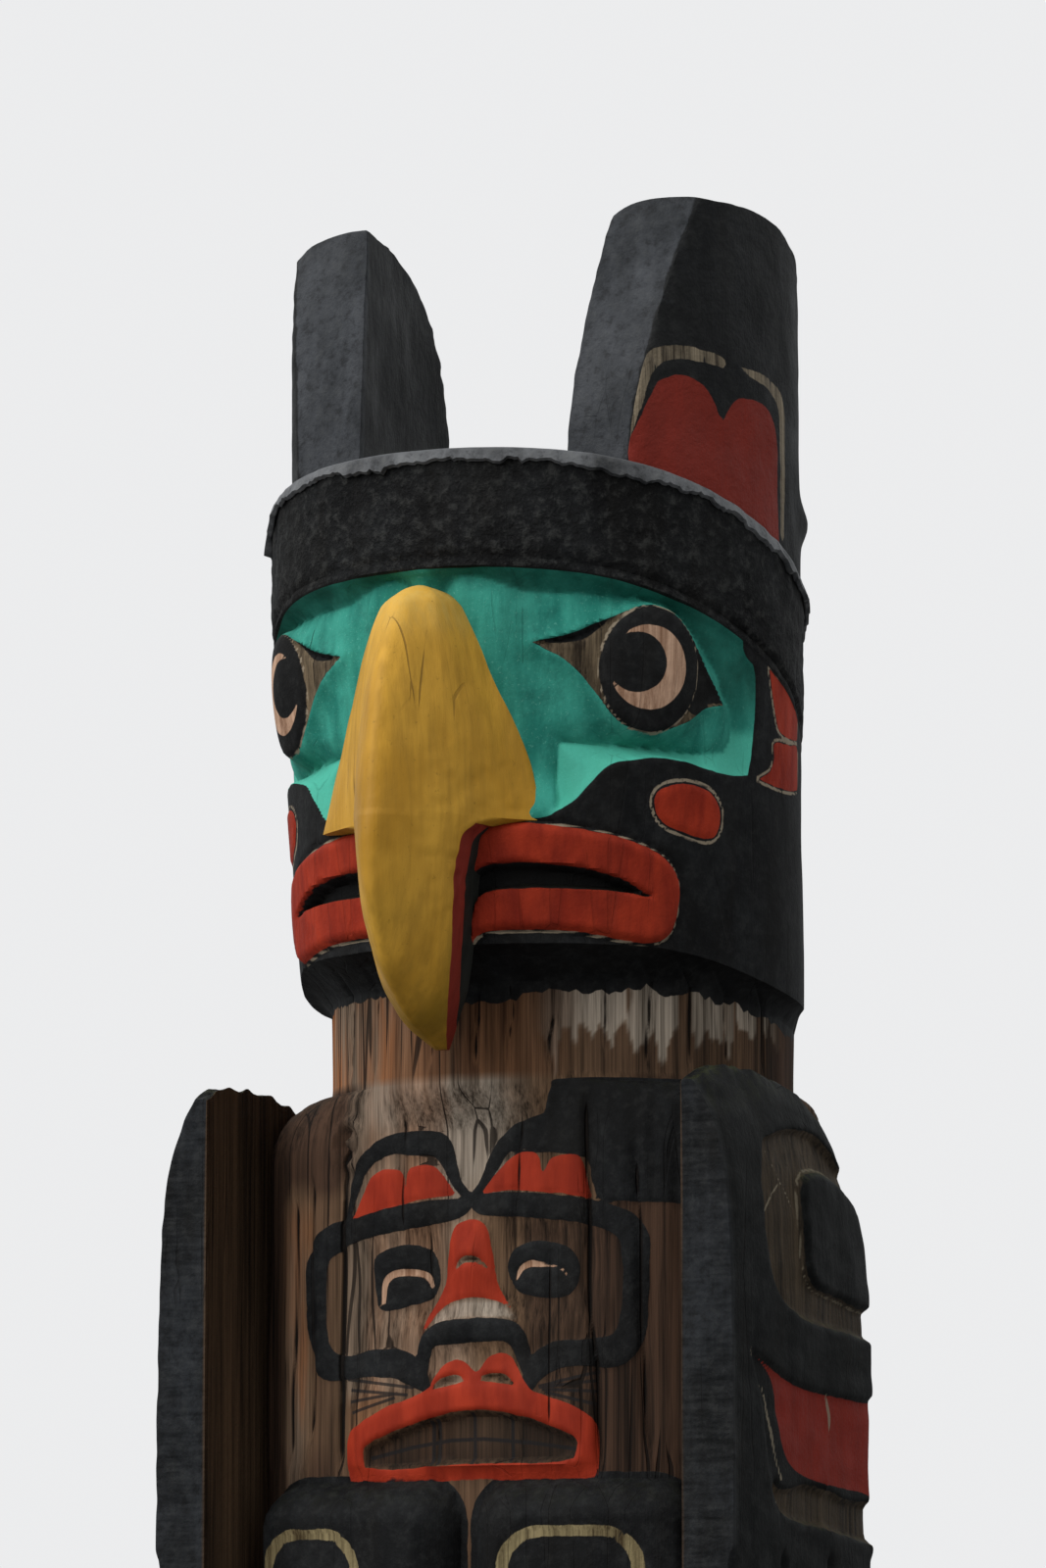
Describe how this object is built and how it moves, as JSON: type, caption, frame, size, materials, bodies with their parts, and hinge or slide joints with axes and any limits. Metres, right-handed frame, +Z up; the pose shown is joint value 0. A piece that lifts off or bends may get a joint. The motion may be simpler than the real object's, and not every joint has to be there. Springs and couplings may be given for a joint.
{
  "type": "totem pole",
  "caption": "Carved and painted cedar totem pole: a thunderbird with a hooked beak, tall horns, folded wings and a crest face on its chest, on a low round base.",
  "frame": {"origin": "centre of the flat foot, on the axis of the log", "axes": "+Z up along the log, the figure faces -Y, and +X is the figure's own left"},
  "size_m": [0.9, 1.046, 2.646],
  "materials": {
    "carved_cedar": "weathered bare cedar, painted in black, green and red where carved",
    "yellow_painted_cedar": "worn yellow paint over adzed cedar",
    "black_roofing_membrane": "bitumen roofing membrane painted black",
    "black_painted_cedar": "weathered black paint with dull red design fields"
  },
  "bodies": {
    "root": {"log": "carved_cedar", "beak": "yellow_painted_cedar", "crown_cap": "black_roofing_membrane", "left_horn": "black_painted_cedar", "right_horn": "black_painted_cedar", "left_wing": "black_painted_cedar", "right_wing": "black_painted_cedar"}
  },
  "joints": []
}
